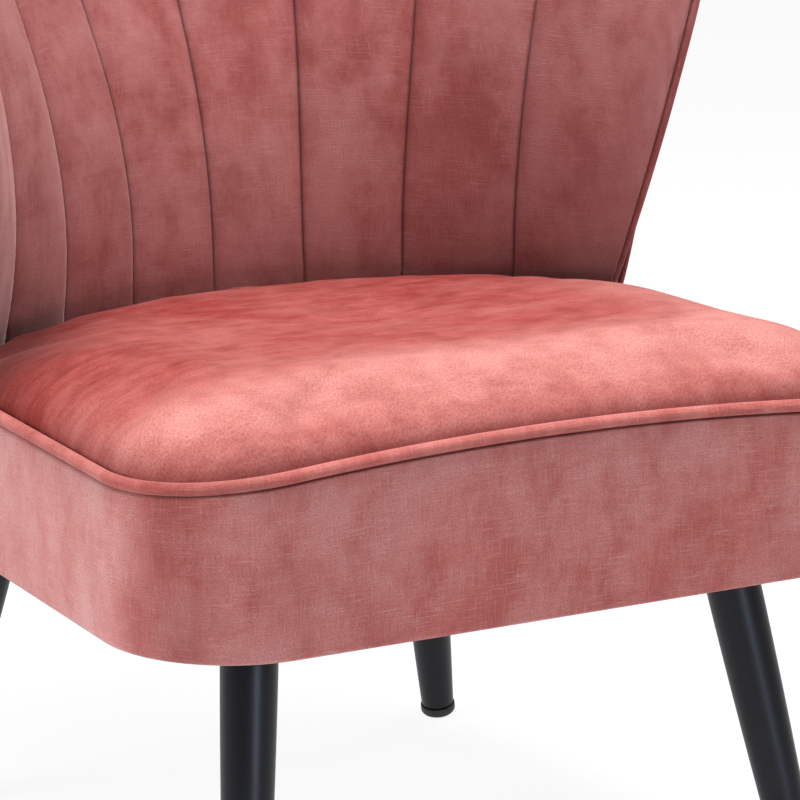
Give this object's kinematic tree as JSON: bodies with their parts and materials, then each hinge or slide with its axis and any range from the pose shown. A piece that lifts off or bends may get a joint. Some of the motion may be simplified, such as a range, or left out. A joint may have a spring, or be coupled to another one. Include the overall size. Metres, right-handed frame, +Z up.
{
  "type": "slipper chair",
  "caption": "Low armless chair with a tight crowned seat in a piped box, a wraparound back sewn in upright channels, and splayed tapered tube legs on glides",
  "frame": {"origin": "on the floor, under the centre of the chair's footprint box", "axes": "+X to the right of someone who looks at the chair from the front, +Y from the seat's front to the back, +Z up"},
  "size_m": [0.6344, 0.678, 0.7899],
  "materials": {
    "seat_velvet": "matte",
    "back_velvet": "matte",
    "foam": "matte",
    "timber": "matte",
    "plywood": "matte",
    "webbing": "matte",
    "lining": "matte",
    "black_steel": "satin",
    "zinc_steel": "satin",
    "black_plastic": "satin"
  },
  "bodies": {
    "root": {"seat_band": "seat_velvet", "seat_welt": "seat_velvet", "seat_top_cover": "seat_velvet", "seat_foam": "foam", "rail_front": "timber", "rail_rear": "timber", "rail_left": "timber", "rail_right": "timber", "strap_length_1": "webbing", "strap_length_2": "webbing", "strap_length_3": "webbing", "strap_cross_1": "webbing", "strap_cross_2": "webbing", "strap_cross_3": "webbing", "dust_cloth": "lining", "corner_block_front_left": "timber", "leg_plate_front_left": "black_steel", "leg_tube_front_left": "black_steel", "leg_glide_front_left": "black_plastic", "corner_block_front_right": "timber", "leg_plate_front_right": "black_steel", "leg_tube_front_right": "black_steel", "leg_glide_front_right": "black_plastic", "corner_block_rear_left": "timber", "leg_plate_rear_left": "black_steel", "leg_tube_rear_left": "black_steel", "leg_glide_rear_left": "black_plastic", "corner_block_rear_right": "timber", "leg_plate_rear_right": "black_steel", "leg_tube_rear_right": "black_steel", "leg_glide_rear_right": "black_plastic", "back_channel_1": "back_velvet", "back_channel_2": "back_velvet", "back_channel_3": "back_velvet", "back_channel_4": "back_velvet", "back_channel_5": "back_velvet", "back_channel_6": "back_velvet", "back_channel_7": "back_velvet", "back_channel_8": "back_velvet", "back_board": "plywood", "back_outer_cover": "back_velvet", "back_welt": "back_velvet", "back_upright_left": "timber", "back_bracket_left": "zinc_steel", "rail_bolt_left": "zinc_steel", "upright_bolt_left": "zinc_steel", "back_upright_right": "timber", "back_bracket_right": "zinc_steel", "rail_bolt_right": "zinc_steel", "upright_bolt_right": "zinc_steel"}
  },
  "joints": []
}
